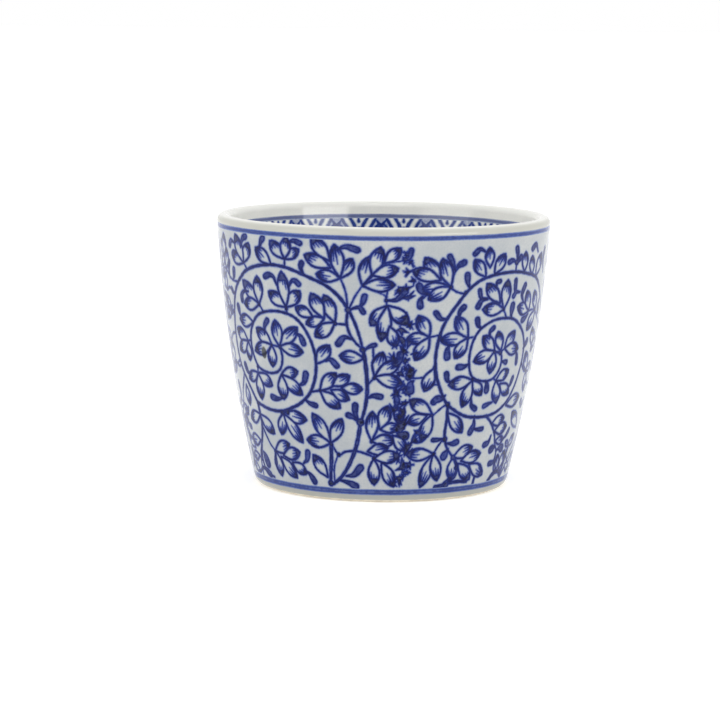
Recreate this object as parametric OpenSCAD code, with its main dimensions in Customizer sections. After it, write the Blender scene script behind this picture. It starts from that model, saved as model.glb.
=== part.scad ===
// Straight-sided porcelain teacup: one fired clay body with a turned foot, printed and banded
// underglaze cobalt, and the clear glaze that seals it in. The cup stands on the XY plane,
// its axis is +Z and its origin is the centre of the foot.

/* [Cup] */
// Outer diameter at the mouth, over the glaze
rim_d = 80; // [70:1:95]
// Outer diameter at the bottom of the wall, just above the foot's rounded corner
base_d = 61.6; // [54:0.2:66]
// Overall height
cup_h = 65; // [55:1:80]
// How far the wall swells outside a straight taper
wall_bulge = 1.4; // [0:0.1:2.5]
// Thickness of the lip, over the glaze
lip_t = 3.2; // [2.6:0.1:4.4]
// Thickness of the wall at its foot, over the glaze
wall_t = 4.2; // [3.4:0.1:5.5]
// Thickness of the floor over the foot well, over the glaze
floor_t = 5.4; // [4:0.1:7]
// Radius of the turn from the floor into the wall, inside
floor_turn_r = 9; // [5:0.5:12]

/* [Foot] */
// Radius of the rounded corner between the wall and the foot
foot_corner_r = 2.2; // [1.6:0.1:3]
// Width of the flat bare ring that the cup stands on
foot_ring_w = 2.8; // [2:0.1:4]
// Depth of the well inside the foot ring
foot_well_h = 3.5; // [2.5:0.1:5]
// How far the well's side leans in over its depth
foot_well_lean = 1.2; // [0.5:0.1:2]
// Height of bare clay left above the table on both sides of the ring
bare_h = 0.7; // [0.5:0.1:1]

/* [Coats] */
// Thickness of the clear glaze
glaze_t = 0.4; // [0.3:0.05:0.6]
// Thickness of the cobalt laid on the clay
cobalt_t = 0.12; // [0.08:0.02:0.16]

/* [Bands] */
// Distance from the top of the lip to the middle of the line round the outside
rim_line_drop = 2.4; // [2.2:0.1:4]
// Width of the line round the outside of the rim
rim_line_w = 0.8; // [0.5:0.1:1.2]
// Height of the middle of the line round the foot
foot_line_z = 2.65; // [2.4:0.05:3.5]
// Width of the line round the foot
foot_line_w = 1.1; // [0.8:0.1:1.2]
// Distance from the top of the lip to the middle of the line round the inside
inner_line_drop = 3.6; // [3:0.1:5]
// Width of the lines round the inside
inner_line_w = 0.7; // [0.5:0.1:1]
// Height of the printed border inside
border_h = 9.4; // [6:0.2:14]
// Bare clay between one band of cobalt and the next
band_gap = 0.1; // [0.05:0.05:0.5]
// Number of printed sheets round the outside
outer_sheets = 4; // [2:1:6]
// Number of printed strips round the inside
inner_strips = 2; // [2:1:4]
// Turn from the front, anticlockwise from above, to where the first sheet and strip start
seam_turn = 10; // [0:1:90]

/* [Hidden] */
$fn = 180;
WALL_STEPS = 16;
ARC_STEPS = 8;
BLEND = 0.5;                             // gap between a straight run's end and the arc it meets
SLOPE_STEP = 0.5;                        // half the height over which the wall's lean is taken
FRONT = -90;                             // direction of the front, from +X

rim_r = rim_d / 2;
base_r = base_d / 2;
lip_r = lip_t / 2;                       // the lip is a full round
lip_z = cup_h - lip_r;                   // height of the lip's centre
floor_z = foot_well_h + floor_t;         // top of the floor, inside

// ---- The cup's outline, over the glaze ----

// Share of the way up the wall, from the foot corner to the lip's centre
function up(z) = (z - foot_corner_r) / (lip_z - foot_corner_r);

// Outer radius: a straight taper with a shallow swell
function outer_r(z) = base_r + (rim_r - base_r) * up(z) + wall_bulge * 4 * up(z) * (1 - up(z));

// Wall thickness: thin at the lip, thickening smoothly down to the foot
function thick(z) = lip_t + (wall_t - lip_t) * (1 - up(z) * up(z));

function inner_r(z) = outer_r(z) - thick(z);
function mid_r(z) = outer_r(z) - thick(z) / 2;

// Angle that the wall leans out from upright, outside at the foot and inside near the floor
function lean(widening) = atan(widening / (2 * SLOPE_STEP));
foot_lean = lean(outer_r(foot_corner_r + SLOPE_STEP) - outer_r(foot_corner_r - SLOPE_STEP));
turn_lean = let (z = floor_z + floor_turn_r) lean(inner_r(z + SLOPE_STEP) - inner_r(z - SLOPE_STEP));

// A corner arc touches a level face at height level and leaves it for the leaning wall
function corner_top(level, r, lean) = level + r * (1 - sin(lean));
foot_top = corner_top(0, foot_corner_r, foot_lean);
turn_top = corner_top(floor_z, floor_turn_r, turn_lean);
foot_centre = [outer_r(foot_top) - foot_corner_r * cos(foot_lean), foot_corner_r];
turn_centre = [inner_r(turn_top) - floor_turn_r * cos(turn_lean), floor_z + floor_turn_r];

foot_out_r = foot_centre[0];             // outer edge of the flat ring
foot_in_r = foot_out_r - foot_ring_w;    // inner edge of the flat ring
foot_mid_r = foot_out_r - foot_ring_w / 2;

function arc(centre, r, from, to) =
    [for (i = [0:ARC_STEPS]) let (a = from + (to - from) * i / ARC_STEPS)
        centre + r * [cos(a), sin(a)]];

function heights(from, to) = [for (i = [0:WALL_STEPS]) from + (to - from) * i / WALL_STEPS];

// Half outline of the cup, drawn into the clay by t all over: from the axis out round the foot,
// over the lip and back down to the axis
function outline(t) = concat(
    [[0, foot_well_h + t],
     [foot_in_r - foot_well_lean + t, foot_well_h + t],
     [foot_in_r + t, t]],
    arc(foot_centre, foot_corner_r - t, -90, -foot_lean),
    [for (z = heights(foot_top + BLEND, lip_z - BLEND)) [outer_r(z) - t, z]],
    arc([rim_r - lip_r, lip_z], lip_r - t, 0, 180),
    [for (z = heights(lip_z - BLEND, turn_top + BLEND)) [inner_r(z) + t, z]],
    arc(turn_centre, floor_turn_r + t, -turn_lean, -90),
    [[0, floor_z - t]]);

module cup_section(t) {
    polygon(outline(t));
}

// The clay: under the glaze everywhere but at the ring, where it comes down bare to the table
module clay_section() {
    cup_section(glaze_t);
    intersection() {
        cup_section(0);
        square([rim_d, bare_h]);
    }
}

module glaze_section() {
    difference() {
        cup_section(0);
        clay_section();
    }
}

// The region inside the foot ring and under the floor
module foot_well_zone() {
    square([foot_mid_r, floor_z - floor_t / 2]);
}

// One side of the wall between two heights
module side_zone(band, outside) {
    edge_r = outside ? rim_d : 0;
    polygon([[edge_r, band[0]], [mid_r(band[0]), band[0]], [mid_r(band[1]), band[1]], [edge_r, band[1]]]);
}

// A coat of cobalt lying on the clay between two heights
module cobalt_section(band, outside) {
    intersection() {
        difference() {
            cup_section(glaze_t - cobalt_t);
            cup_section(glaze_t);
        }
        side_zone(band, outside);
    }
}

// Lower and upper edge of each band of cobalt
function band_at(middle, width) = [middle - width / 2, middle + width / 2];
rim_line = band_at(cup_h - rim_line_drop, rim_line_w);
foot_line = band_at(foot_line_z, foot_line_w);
inner_line = band_at(cup_h - inner_line_drop, inner_line_w);
outer_print = [foot_line[1] + band_gap, rim_line[0] - band_gap];
inner_print = [inner_line[0] - band_gap - border_h, inner_line[0] - band_gap];
border_line = [inner_print[0] - band_gap - inner_line_w, inner_print[0] - band_gap];

// ---- The pieces ----

module cobalt_ring(band, outside) {
    color("#2b3a94") rotate_extrude() cobalt_section(band, outside);
}

// Sheet i of count, numbered anticlockwise from the seam nearest the front
module cobalt_sheet(band, outside, count, i) {
    span = 360 / count;
    color("#4a5db0") rotate([0, 0, FRONT + seam_turn + (i - 1) * span])
        rotate_extrude(angle = span) cobalt_section(band, outside);
}

module porcelain_body() {
    color("#e6e2d8") rotate_extrude() clay_section();
}

// One skin from the foot's outer edge over the lip to the middle of the floor
module glaze_coat() {
    color("#eef2f4") rotate_extrude() difference() {
        glaze_section();
        foot_well_zone();
        for (band = [rim_line, foot_line, outer_print]) cobalt_section(band, true);
        for (band = [inner_line, inner_print, border_line]) cobalt_section(band, false);
    }
}

// The patch of glaze inside the foot ring
module foot_well_glaze() {
    color("#eef2f4") rotate_extrude() intersection() {
        glaze_section();
        foot_well_zone();
    }
}

porcelain_body();
glaze_coat();
foot_well_glaze();
cobalt_ring(rim_line, true);  // outer_rim_line
cobalt_ring(foot_line, true);  // outer_foot_line
cobalt_ring(inner_line, false);  // inner_rim_line
cobalt_ring(border_line, false);  // inner_border_line
for (i = [1:outer_sheets])
    cobalt_sheet(outer_print, true, outer_sheets, i);
for (i = [1:inner_strips])
    cobalt_sheet(inner_print, false, inner_strips, i);
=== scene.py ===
"""A porcelain teacup with a cobalt print under its glaze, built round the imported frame.

The looks are four kinds of piece: the bare clay, the clear glaze over it, the plain cobalt lines and
the printed sheets. Each printed sheet is a fine grid of points that carries the drawing, as the
distance into the nearest brush stroke, and its material turns that distance into pigment.
"""

import math

import bpy
import numpy as np
from mathutils import Matrix, Vector


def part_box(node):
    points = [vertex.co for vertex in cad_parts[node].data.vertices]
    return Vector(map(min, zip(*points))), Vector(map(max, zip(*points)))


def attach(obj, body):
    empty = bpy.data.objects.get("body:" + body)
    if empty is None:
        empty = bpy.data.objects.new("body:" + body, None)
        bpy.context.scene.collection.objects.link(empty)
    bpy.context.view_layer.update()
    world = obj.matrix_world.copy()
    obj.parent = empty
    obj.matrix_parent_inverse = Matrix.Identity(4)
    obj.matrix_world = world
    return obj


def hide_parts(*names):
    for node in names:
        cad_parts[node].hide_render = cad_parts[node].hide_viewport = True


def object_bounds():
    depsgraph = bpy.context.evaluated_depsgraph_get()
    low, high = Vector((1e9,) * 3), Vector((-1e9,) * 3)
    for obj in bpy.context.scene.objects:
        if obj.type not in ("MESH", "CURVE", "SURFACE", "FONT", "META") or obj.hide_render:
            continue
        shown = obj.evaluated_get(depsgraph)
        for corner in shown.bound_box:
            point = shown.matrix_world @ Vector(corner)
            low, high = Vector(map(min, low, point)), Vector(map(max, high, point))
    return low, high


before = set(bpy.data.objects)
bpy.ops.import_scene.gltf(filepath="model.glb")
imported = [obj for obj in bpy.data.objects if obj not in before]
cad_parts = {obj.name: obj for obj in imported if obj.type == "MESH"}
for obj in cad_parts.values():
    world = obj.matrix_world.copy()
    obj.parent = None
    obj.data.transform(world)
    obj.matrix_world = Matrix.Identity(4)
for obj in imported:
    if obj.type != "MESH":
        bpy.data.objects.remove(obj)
cad_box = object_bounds()

MM = 0.001  # lengths below are in millimetres, and meshes in metres

# ---- Sizes ----


def band(node):
    """Lowest and highest point of a node's band, mm."""
    low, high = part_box(node)
    return low.z / MM, high.z / MM


RIM_R = cad_box[1].x / MM  # outer radius at the lip
CUP_H = cad_box[1].z / MM
BASE_R = 30.8  # outer radius at the foot, above its rounded corner
WALL_BULGE = 1.4  # how far the wall swells outside a straight taper
LIP_T = 3.2  # thickness of the lip
WALL_T = 4.2  # thickness of the wall at its foot
FLOOR_T = 5.4  # thickness of the floor
TURN_R = 9.0  # radius of the turn from the floor into the wall
FOOT_R = 2.2  # radius of the foot's rounded corner
RING_W = 2.8  # width of the flat ring that the cup stands on
WELL_H = 3.5  # depth of the well inside the ring
WELL_LEAN = 1.2  # how far the well's side leans in
WELL_R = 1.0  # radius in the corner of the well
BARE_H = 0.7  # height of bare clay above the table
GLAZE_T = 0.4  # thickness of the glaze
PRINT_T = 0.3  # depth of a printed sheet's slab

RIM_LINE = band("outer_rim_line")
FOOT_LINE = band("outer_foot_line")
INNER_LINE = band("inner_rim_line")
BORDER_LINE = band("inner_border_line")
SHEETS = sorted(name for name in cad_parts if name.startswith("outer_transfer_"))
STRIPS = sorted(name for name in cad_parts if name.startswith("inner_border_") and name[-1].isdigit())

FRONT = -90.0  # direction of the front, degrees from +X
SEAM_TURN = 10.0  # turn from the front to where the first sheet starts

# ---- The cup's outline, over the glaze ----

LIP_R = LIP_T / 2
LIP_Z = CUP_H - LIP_R
FLOOR_Z = WELL_H + FLOOR_T
SLOPE_STEP = 0.5  # half the height over which the wall's lean is taken


def up(z):
    """Share of the way up the wall."""
    return (z - FOOT_R) / (LIP_Z - FOOT_R)


def outer_r(z):
    """Outer radius of the wall."""
    return BASE_R + (RIM_R - BASE_R) * up(z) + WALL_BULGE * 4 * up(z) * (1 - up(z))


def inner_r(z):
    """Inner radius of the wall."""
    return outer_r(z) - LIP_T - (WALL_T - LIP_T) * (1 - up(z) ** 2)


def lean(radius, z):
    """Angle that the wall leans out from upright at a height, radians."""
    return math.atan((radius(z + SLOPE_STEP) - radius(z - SLOPE_STEP)) / (2 * SLOPE_STEP))


FOOT_LEAN = lean(outer_r, FOOT_R)
TURN_LEAN = lean(inner_r, FLOOR_Z + TURN_R)
FOOT_TOP = FOOT_R * (1 - math.sin(FOOT_LEAN))
TURN_TOP = FLOOR_Z + TURN_R * (1 - math.sin(TURN_LEAN))
FOOT_CENTRE = (outer_r(FOOT_TOP) - FOOT_R * math.cos(FOOT_LEAN), FOOT_R)
TURN_CENTRE = (inner_r(TURN_TOP) - TURN_R * math.cos(TURN_LEAN), FLOOR_Z + TURN_R)
RING_OUT = FOOT_CENTRE[0]
RING_IN = RING_OUT - RING_W


def arc(centre, radius, start, end, steps=24):
    """Points along an arc between two angles in degrees."""
    angles = np.radians(np.linspace(start, end, steps + 1))
    return [(centre[0] + radius * math.cos(a), centre[1] + radius * math.sin(a)) for a in angles]


# ---- Meshes ----

COLUMNS = 288  # columns round a whole turn of a lathed piece
TUCK = 0.1  # how far the glaze drops back under a cobalt band
EDGE = 0.01  # half the width of that step
LINE_SOFT = 0.2  # how far a line's own skin reaches beyond the line
AXIS = 1e-6  # a point nearer the axis than this is on it
LIP_STEPS = 48  # steps round the lip
FLOOR_SHARES = (0.75, 0.5, 0.25, 0.1, 0)  # where the floor's rings lie between the turn and the axis
WELL_SHARES = (0.7, 0.4, 0.15, 0)  # the same for the top of the well


def widened(edges):
    """A line's band with its soft edges."""
    return edges[0] - LINE_SOFT, edges[1] + LINE_SOFT


OUTER_SHEET = (FOOT_LINE[1] + LINE_SOFT, RIM_LINE[0] - LINE_SOFT)
INNER_STRIP = (BORDER_LINE[1] + LINE_SOFT, INNER_LINE[0] - LINE_SOFT)
OUTER_BANDS = [widened(FOOT_LINE), OUTER_SHEET, widened(RIM_LINE)]
INNER_BANDS = [widened(BORDER_LINE), INNER_STRIP, widened(INNER_LINE)]


def outline_normals(points):
    """Outward normal of each point of an outline that has the piece on its left."""
    step = np.gradient(points, axis=0)
    normals = np.column_stack([step[:, 1], -step[:, 0]])
    return normals / np.linalg.norm(normals, axis=1)[:, None]


def new_object(name, vertices, faces, normals):
    """A smooth mesh object with its own normals, from millimetres."""
    mesh = bpy.data.meshes.new(name)
    mesh.from_pydata((vertices * MM).tolist(), [], faces)
    mesh.polygons.foreach_set("use_smooth", [True] * len(mesh.polygons))
    mesh.normals_split_custom_set_from_vertices(normals.tolist())
    mesh.update()
    piece = bpy.data.objects.new(name, mesh)
    bpy.context.scene.collection.objects.link(piece)
    return piece


def turned(rows, angles):
    """Rows of (radius, height) carried round the axis: an array of rows by angles by xyz."""
    radius = rows[:, 0][:, None]
    level = np.broadcast_to(rows[:, 1][:, None], (len(rows), len(angles)))
    return np.stack([radius * np.cos(angles), radius * np.sin(angles), level], axis=-1)


def lathe(name, outline, normals):
    """A solid of revolution from a loop of (radius, height), counterclockwise."""
    angles = np.linspace(0, 2 * math.pi, COLUMNS, endpoint=False)
    index = np.zeros((len(outline), COLUMNS), int)
    points = []
    directions = []
    count = 0
    for row, (radius, _) in enumerate(outline):
        used = angles[:1] if radius < AXIS else angles
        points.append(turned(outline[row:row + 1], used)[0])
        directions.append(turned(normals[row:row + 1], used)[0])
        index[row] = count + (np.zeros(COLUMNS, int) if len(used) == 1 else np.arange(COLUMNS))
        count += len(used)
    faces = []
    for row in range(len(outline)):
        here = index[row]
        above = index[(row + 1) % len(outline)]
        quads = np.column_stack([here, np.roll(here, -1), np.roll(above, -1), above]).tolist()
        faces += [list(dict.fromkeys(quad)) for quad in quads]
    faces = [face for face in faces if len(face) > 2]
    return new_object(name, np.concatenate(points), faces, np.concatenate(directions))


def skin_loop(points, normals, depth):
    """A loop made of a skin's face and its back at that depth, with the normals of both."""
    back = points - normals * depth
    back[:, 0] = np.maximum(back[:, 0], 0)
    return np.concatenate([points, back[::-1]]), np.concatenate([normals, -normals[::-1]])


def wall_heights(low, high, bands, step=0.5):
    """Heights up the wall, with two close together at each edge of a band, where the glaze steps."""
    even = np.linspace(low, high, round((high - low) / step) + 1)
    steps = [edge + side for edges in bands for edge in edges for side in (-EDGE, EDGE)]
    return np.unique(np.concatenate([even, steps]))


def under_band(z, bands):
    """Whether each height is under a cobalt band."""
    return np.any([(z > low) & (z < high) for low, high in bands], axis=0)


def glaze_face():
    """The glaze's outer face and its normals, from the bare ring over the lip to the floor's middle."""
    outside = wall_heights(FOOT_TOP, LIP_Z, OUTER_BANDS)
    inside = wall_heights(TURN_TOP, LIP_Z, INNER_BANDS)[::-1]
    bare = math.degrees(math.asin((BARE_H - FOOT_R) / FOOT_R))
    foot = arc(FOOT_CENTRE, FOOT_R, bare, -math.degrees(FOOT_LEAN))[:-1]
    lip = arc((RIM_R - LIP_R, LIP_Z), LIP_R, 0, 180, LIP_STEPS)[1:-1]
    turn = arc(TURN_CENTRE, TURN_R, -math.degrees(TURN_LEAN), -90)[1:]
    floor = [(TURN_CENTRE[0] * share, FLOOR_Z) for share in FLOOR_SHARES]
    points = np.array(foot + [(outer_r(z), z) for z in outside] + lip
                      + [(inner_r(z), z) for z in inside] + turn + floor)
    normals = outline_normals(points)
    tucked = np.concatenate([
        np.zeros(len(foot), bool), under_band(outside, OUTER_BANDS), np.zeros(len(lip), bool),
        under_band(inside, INNER_BANDS), np.zeros(len(turn) + len(floor), bool)])
    normals[-1] = (0, 1)
    return points - normals * (TUCK * tucked)[:, None], normals


def glazed_surface():
    """The clear glaze over the whole cup but its ring, well and cobalt bands."""
    points, normals = glaze_face()
    piece = lathe("glazed_surface", *skin_loop(points, normals, GLAZE_T))
    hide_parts("glaze_coat")
    return piece


def well_glaze():
    """The glaze inside the foot ring, with a soft corner."""
    side = [(RING_IN - WELL_LEAN * z / WELL_H, z) for z in np.linspace(BARE_H, WELL_H - WELL_R, 6)]
    corner = arc((RING_IN - WELL_LEAN - WELL_R, WELL_H - WELL_R), WELL_R, 0, 90, 10)
    ceiling = [(RING_IN * share, WELL_H) for share in WELL_SHARES]
    points = np.array(side + corner[1:] + ceiling)[::-1]
    normals = outline_normals(points)
    normals[0] = (0, -1)
    piece = lathe("well_glaze", *skin_loop(points, normals, GLAZE_T))
    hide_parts("foot_well_glaze")
    return piece


def side_face(side, low, high, rows):
    """One side of the wall between two heights, as rows of (radius, height), and its outward normals."""
    radius = outer_r if side > 0 else inner_r
    heights = np.linspace(low, high, rows)
    points = np.column_stack([radius(heights), heights])
    normals = outline_normals(points) * side
    return points, normals


LINE_ROWS = 13  # rows of points across a line's skin
BACK_ROWS = 12  # rows of points up the back of a sheet


def set_ink(piece, drawing):
    """Stores a drawing on the piece's front points, and leaves its other points blank."""
    for key, rest in (("ink", -REACH), ("load", 0.0), ("iron", -REACH)):
        values = np.full(len(piece.data.vertices), rest)
        values[:drawing[key].size] = drawing[key].ravel()
        layer = piece.data.attributes.new(key, "FLOAT", "POINT")
        layer.data.foreach_set("value", values)


def grid_faces(index):
    """Quads over a grid of point numbers, facing the way columns turn into rows."""
    corners = [index[:-1, :-1], index[:-1, 1:], index[1:, 1:], index[1:, :-1]]
    return np.stack(corners, axis=-1).reshape(-1, 4)


def grid_map(rows, columns, box):
    """Where the corners of those quads lie in a box (left, right, bottom, top) of the unit square."""
    across, along = np.meshgrid(np.linspace(box[0], box[1], columns), np.linspace(box[2], box[3], rows))
    places = np.stack([across, along], axis=-1).reshape(-1, 2)
    return places[grid_faces(np.arange(rows * columns).reshape(rows, columns))].reshape(-1, 2)


def sheet_slab(name, side, edges, angles, rows):
    """A thin closed slab on one side of the wall. Its front is a fine grid of points, row by row."""
    points, normals = side_face(side, edges[0], edges[1], rows)
    back_points, back_normals = side_face(side, edges[0], edges[1], BACK_ROWS)
    back_points = back_points - back_normals * PRINT_T
    columns = len(angles)
    front = np.arange(rows * columns).reshape(rows, columns)
    back = rows * columns + np.arange(BACK_ROWS * columns).reshape(BACK_ROWS, columns)
    # the front, back, bottom and top, and where each lies on the unit square that is baked
    parts = [(front, (0.03, 0.97, 0.06, 0.97)), (back[::-1], (0.03, 0.97, 0.0, 0.02)),
             (np.stack([back[0], front[0]]), (0.03, 0.97, 0.03, 0.04)),
             (np.stack([front[-1], back[-1]]), (0.03, 0.97, 0.98, 0.99))]
    faces = np.concatenate([grid_faces(index) for index, _ in parts])[:, ::side].tolist()
    places = np.concatenate([grid_map(*index.shape, box) for index, box in parts])
    places = places.reshape(-1, 4, 2)[:, ::side].reshape(-1, 2)
    for column, left, right in ((0, 0.01, 0.0), (-1, 0.99, 1.0)):
        loop = np.concatenate([front[:, column], back[::-1, column]])
        rim = np.concatenate([np.column_stack([np.full(rows, left), np.linspace(0, 1, rows)]),
                              np.column_stack([np.full(BACK_ROWS, right), np.linspace(1, 0, BACK_ROWS)])])
        turn = -side if column else side
        faces.append(loop[::turn].tolist())
        places = np.concatenate([places, rim[::turn]])
    vertices, directions = [np.concatenate([turned(face, angles).reshape(-1, 3) for face in pair])
                            for pair in ((points, back_points), (normals, -back_normals))]
    piece = new_object(name, vertices, faces, directions)
    piece.data.uv_layers.new(name="OFBake").data.foreach_set("uv", places.ravel())
    return piece


# ---- Drawing ----
# A drawing is made on a grid in paper coordinates: x is millimetres round the cup at PAPER_R and z is
# millimetres up. "ink" is the distance into the nearest stroke, "load" its share of full pigment,
# and "iron" the distance into an iron speck.

PAPER_R = 36.0  # radius at which one paper millimetre is a true one
MM_PER_DEG = math.radians(1) * PAPER_R
REACH = 0.6  # distances are kept up to this far, mm

VINE_LOAD = 0.75  # pigment on each kind of stroke, from none to full
OUTLINE_LOAD = 0.85
BUD_LOAD = 0.72
TIP_LOAD = 0.95
BLOB_LOAD = 1.0
SMUDGE_LOAD = 1.0
VINE_SLIM = 0.9  # share of a vine's drawn width that is painted
VINE_END = 0.75  # share of its width at its end
VINE_WANDER = 0.1  # how much its width varies
OUTLINE_HALF = 0.27  # half width of a leaf's outline
STALK_HALF = 0.27  # half width of a bud's stalk
LEAF_FATNESS = 0.26  # a leaf's greatest half width, as a share of its length
LEAF_HALF_MOST = 1.5
OUTLINE_POINTS = 11  # points along each side of a leaf
TIP_FROM = 0.80  # share of the leaf's length where its dark tip begins
TIP_VARY = 0.07  # how far that varies from leaf to leaf
VEIN_FROM = (0.84, 0.34)  # start of a side vein's pigment: shares of length and half width
VEIN_TO = (0.6, 0.48)  # and its end
VEIN_VARY = 0.1  # how far the end varies from leaf to leaf
VEIN_HALVES = (0.32, 0.06)  # half widths at its start and end
MIDRIB_ENDS = (0.9, 0.52)  # the same for the middle vein, along the leaf
MIDRIB_VARY = 0.12
MIDRIB_HALVES = (0.32, 0.05)
SHADE_SHARES = (0.92, 0.74, 0.45)  # where the shade along one edge runs, as shares of the length
SHADE_HALVES = (0.42, 0.38, 0.1)
SHADE_INSET = 0.15  # how far inside the leaf's edge it lies
BUD_SWOLLEN = 0.75  # share of a bud's path by which its head is full
LINE_LOAD = 0.8
LINE_WANDER = ((0.035, 5, 1), (0.02, 17, 2))  # waves of a line's middle: mm, waves a turn, phase
LINE_SWELL = ((0.03, 11, 3), (0.02, 31, 1))  # and of its half width
SMUDGE_SEED = 7
WEAK_SMUDGE = 0.45  # size of the dabs on the sheet that has fewer
DABS_A_SMUDGE = 14
DAB_SPREAD = 0.4  # how far dabs lie from the middle, as a share of the radius
DAB_SIZES = (0.22, 0.55)  # their half widths, as shares of the radius
DAB_ENDS = (0.3, 1.7)  # where a dab starts and ends, as shares of that distance
DAB_TIP = 0.14  # half width at a dab's thin end
SHEET_SPAN = 360 / len(SHEETS)
STRIP_SPAN = 360 / len(STRIPS)
OUTER_COLUMNS = 315  # points across and up an outer sheet, about 0.2 mm apart
OUTER_ROWS = 295
INNER_COLUMNS = 520
INNER_ROWS = 48
WASH_INK = -0.1  # depth that a wash counts as, for a thin tint
WASH_EDGE = 4.0  # how sharply a wash ends
ARCH_SPAN = 18.0  # turn from one arch of the inner border to the next
IRON_SHEET = 3  # the sheet that carries the iron speck
IRON_AT = (-48.0, 34.3)  # degrees from the front, and mm up
IRON_HALF = (0.95, 1.6)  # its half width and half height


def blank(degrees, heights):
    """An empty drawing over columns in degrees and rows in millimetres."""
    shape = (len(heights), len(degrees))
    empty = {"x": np.asarray(degrees) * MM_PER_DEG, "z": np.asarray(heights)}
    return {**empty, "ink": np.full(shape, -REACH), "load": np.zeros(shape), "iron": np.full(shape, -REACH)}


def window(drawing, corners, margin):
    """The rows and columns of a drawing that lie within a margin of some points."""
    low = np.min(corners, axis=0) - margin
    high = np.max(corners, axis=0) + margin
    columns = slice(*np.searchsorted(drawing["x"], (low[0], high[0])))
    rows = slice(*np.searchsorted(drawing["z"], (low[1], high[1])))
    return rows, columns


def segment(drawing, start, end, half_widths, load):
    """Adds a straight stroke that tapers from one half width to the other."""
    rows, columns = window(drawing, (start, end), max(half_widths) + REACH)
    x = drawing["x"][columns][None, :] - start[0]
    z = drawing["z"][rows][:, None] - start[1]
    if not (x.size and z.size):
        return
    run, rise = end[0] - start[0], end[1] - start[1]
    share = np.clip((x * run + z * rise) / max(run * run + rise * rise, 1e-9), 0, 1)
    depth = half_widths[0] + (half_widths[1] - half_widths[0]) * share
    ink = depth - np.hypot(x - share * run, z - share * rise)
    nearer = ink > drawing["ink"][rows, columns]
    drawing["ink"][rows, columns][nearer] = ink[nearer]
    drawing["load"][rows, columns][nearer] = load


def stroke(drawing, points, half_widths, load):
    """Adds a stroke through points, with a half width at each."""
    for i in range(len(points) - 1):
        segment(drawing, points[i], points[i + 1], half_widths[i:i + 2], load)


def paper(places):
    """Places given in degrees and mm, as rows of paper coordinates."""
    return np.reshape(places, (-1, 2)) * (MM_PER_DEG, 1)


def smooth(places, steps=5):
    """A smooth curve through places, in paper coordinates."""
    points = paper(places)
    ends = np.concatenate([[2 * points[0] - points[1]], points, [2 * points[-1] - points[-2]]])
    share = np.linspace(0, 1, steps, endpoint=False)[:, None]
    curve = []
    for before, a, b, after in zip(ends, ends[1:], ends[2:], ends[3:]):
        square = 2 * before - 5 * a + 4 * b - after
        cube = 3 * a - before - 3 * b + after
        curve.append(a + 0.5 * ((b - before) * share + (square * share ** 2 + cube * share ** 3)))
    return np.concatenate(curve + [points[-1:]])


def vine(drawing, half_width, places):
    """A vine of nearly even width, a little thinner at its end."""
    curve = smooth(places)
    taper = np.minimum(1, VINE_END + 0.5 * np.linspace(1, 0, len(curve)))
    wander = 1 + VINE_WANDER * np.sin(1.7 * np.arange(len(curve)) + curve[0][0])
    stroke(drawing, curve, VINE_SLIM * half_width * taper * wander, VINE_LOAD)


def leaf(drawing, base, tip):
    """An outlined almond leaf with a dark tip, whose pigment runs back along its veins and one edge."""
    base, tip = paper((base, tip))
    length = np.linalg.norm(tip - base)
    along = (tip - base) / length
    across = np.array((-along[1], along[0]))
    half = min(LEAF_FATNESS * length, LEAF_HALF_MOST)

    def edge(share):
        return half * np.sin(math.pi * np.clip(share, 0, 1) ** 1.22) ** 0.8

    def place(share, aside):
        return base + along * length * share + across * aside

    rows, columns = window(drawing, (base, tip), half)
    x = drawing["x"][columns][None, :] - base[0]
    z = drawing["z"][rows][:, None] - base[1]
    share = (x * along[0] + z * along[1]) / length
    within = edge(share) - np.abs(x * across[0] + z * across[1])
    within[(share < 0) | (share > 1)] = -REACH
    ink = drawing["ink"][rows, columns]
    ink[:] = np.where(within > 0, np.minimum(ink, -within), ink)

    lot = math.sin(7 * base[0] + 5 * base[1])  # from -1 to 1, and different for each leaf
    dark = np.minimum(within, (share - TIP_FROM - TIP_VARY * lot) * length)
    better = dark > ink
    ink[better] = dark[better]
    drawing["load"][rows, columns][better] = TIP_LOAD
    for side in (-1, 1):
        outline = [place(s, side * edge(s)) for s in np.linspace(0, 1, OUTLINE_POINTS)]
        stroke(drawing, outline, np.full(len(outline), OUTLINE_HALF), OUTLINE_LOAD)
        vein_end = VEIN_TO[0] - VEIN_VARY * lot * side
        vein = [place(VEIN_FROM[0], side * VEIN_FROM[1] * half), place(vein_end, side * VEIN_TO[1] * half)]
        stroke(drawing, vein, VEIN_HALVES, TIP_LOAD)
    midrib = [place(MIDRIB_ENDS[0], 0), place(MIDRIB_ENDS[1] - MIDRIB_VARY * lot, 0)]
    stroke(drawing, midrib, MIDRIB_HALVES, TIP_LOAD)
    side = 1 if lot > 0 else -1
    shade = [place(s, side * (edge(s) - SHADE_INSET)) for s in SHADE_SHARES]
    stroke(drawing, shade, SHADE_HALVES, TIP_LOAD)


def bud(drawing, head, places):
    """A comma-shaped bud that swells from a thin stalk to a round head."""
    curve = smooth(places)
    swell = np.minimum(1, np.linspace(0, 1, len(curve)) / BUD_SWOLLEN) ** 1.2
    stroke(drawing, curve, STALK_HALF + (head - STALK_HALF) * swell, BUD_LOAD)


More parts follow.
